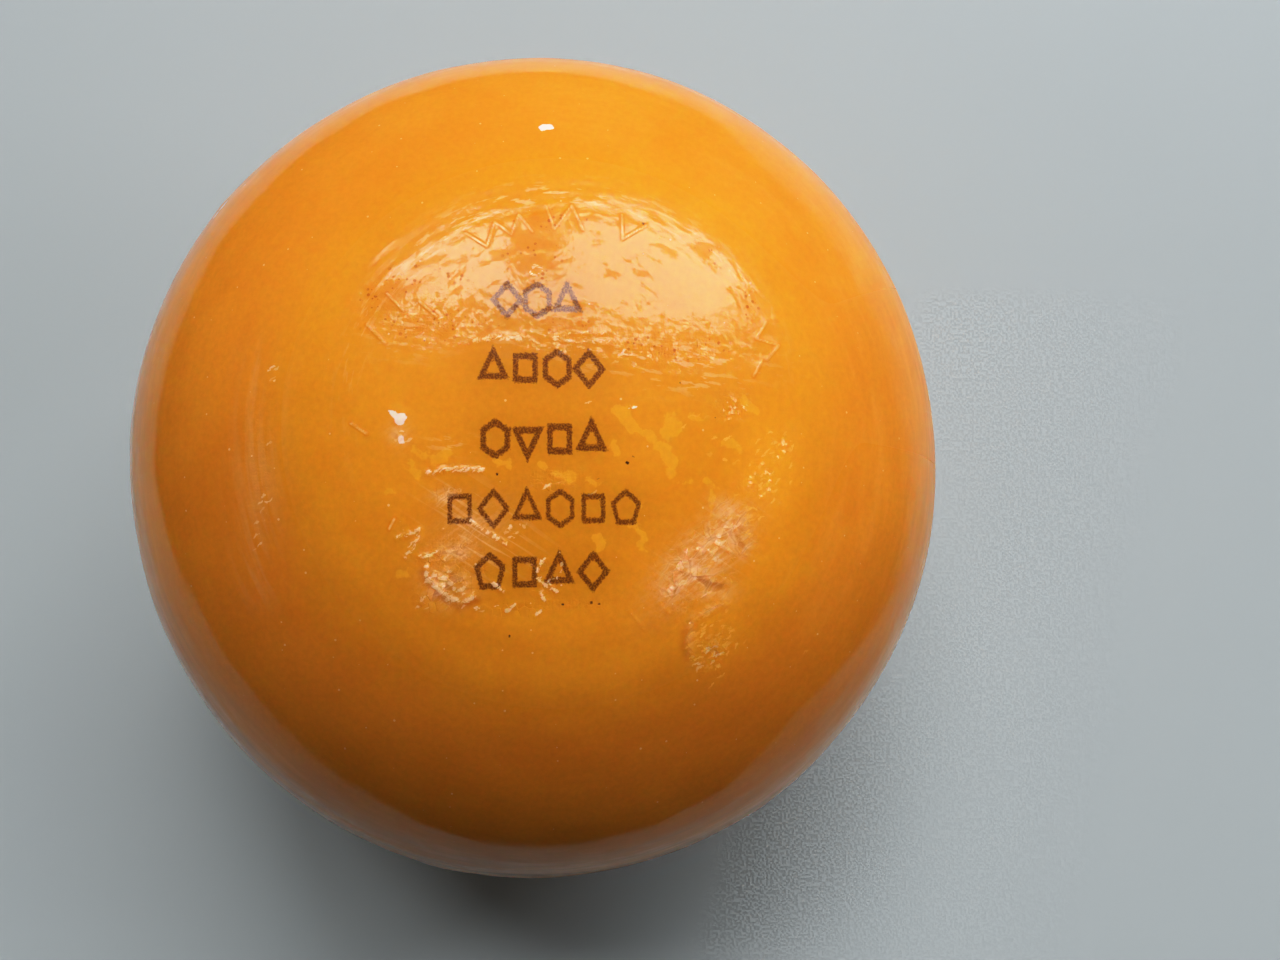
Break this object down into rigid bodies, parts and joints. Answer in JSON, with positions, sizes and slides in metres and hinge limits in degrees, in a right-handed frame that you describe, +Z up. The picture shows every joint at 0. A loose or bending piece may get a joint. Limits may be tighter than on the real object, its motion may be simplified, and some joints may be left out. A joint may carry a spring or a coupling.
{
  "type": "ball of cheese",
  "caption": "Whole uncut ball of pressed cheese in a glossy orange wax coat, flattened top and bottom, that rests on its flat underside.",
  "frame": {"origin": "centre of the flat spot that the ball rests on", "axes": "+Z up, through the middles of the two pressed faces, +Y towards the top of the printed mark"},
  "size_m": [0.1449, 0.1481, 0.133],
  "materials": {
    "orange_wax": "clear glossy wax over a smooth orange rind, with a grainy brown ink mark under it on top"
  },
  "bodies": {
    "root": {"cheese_ball": "orange_wax"}
  },
  "joints": []
}
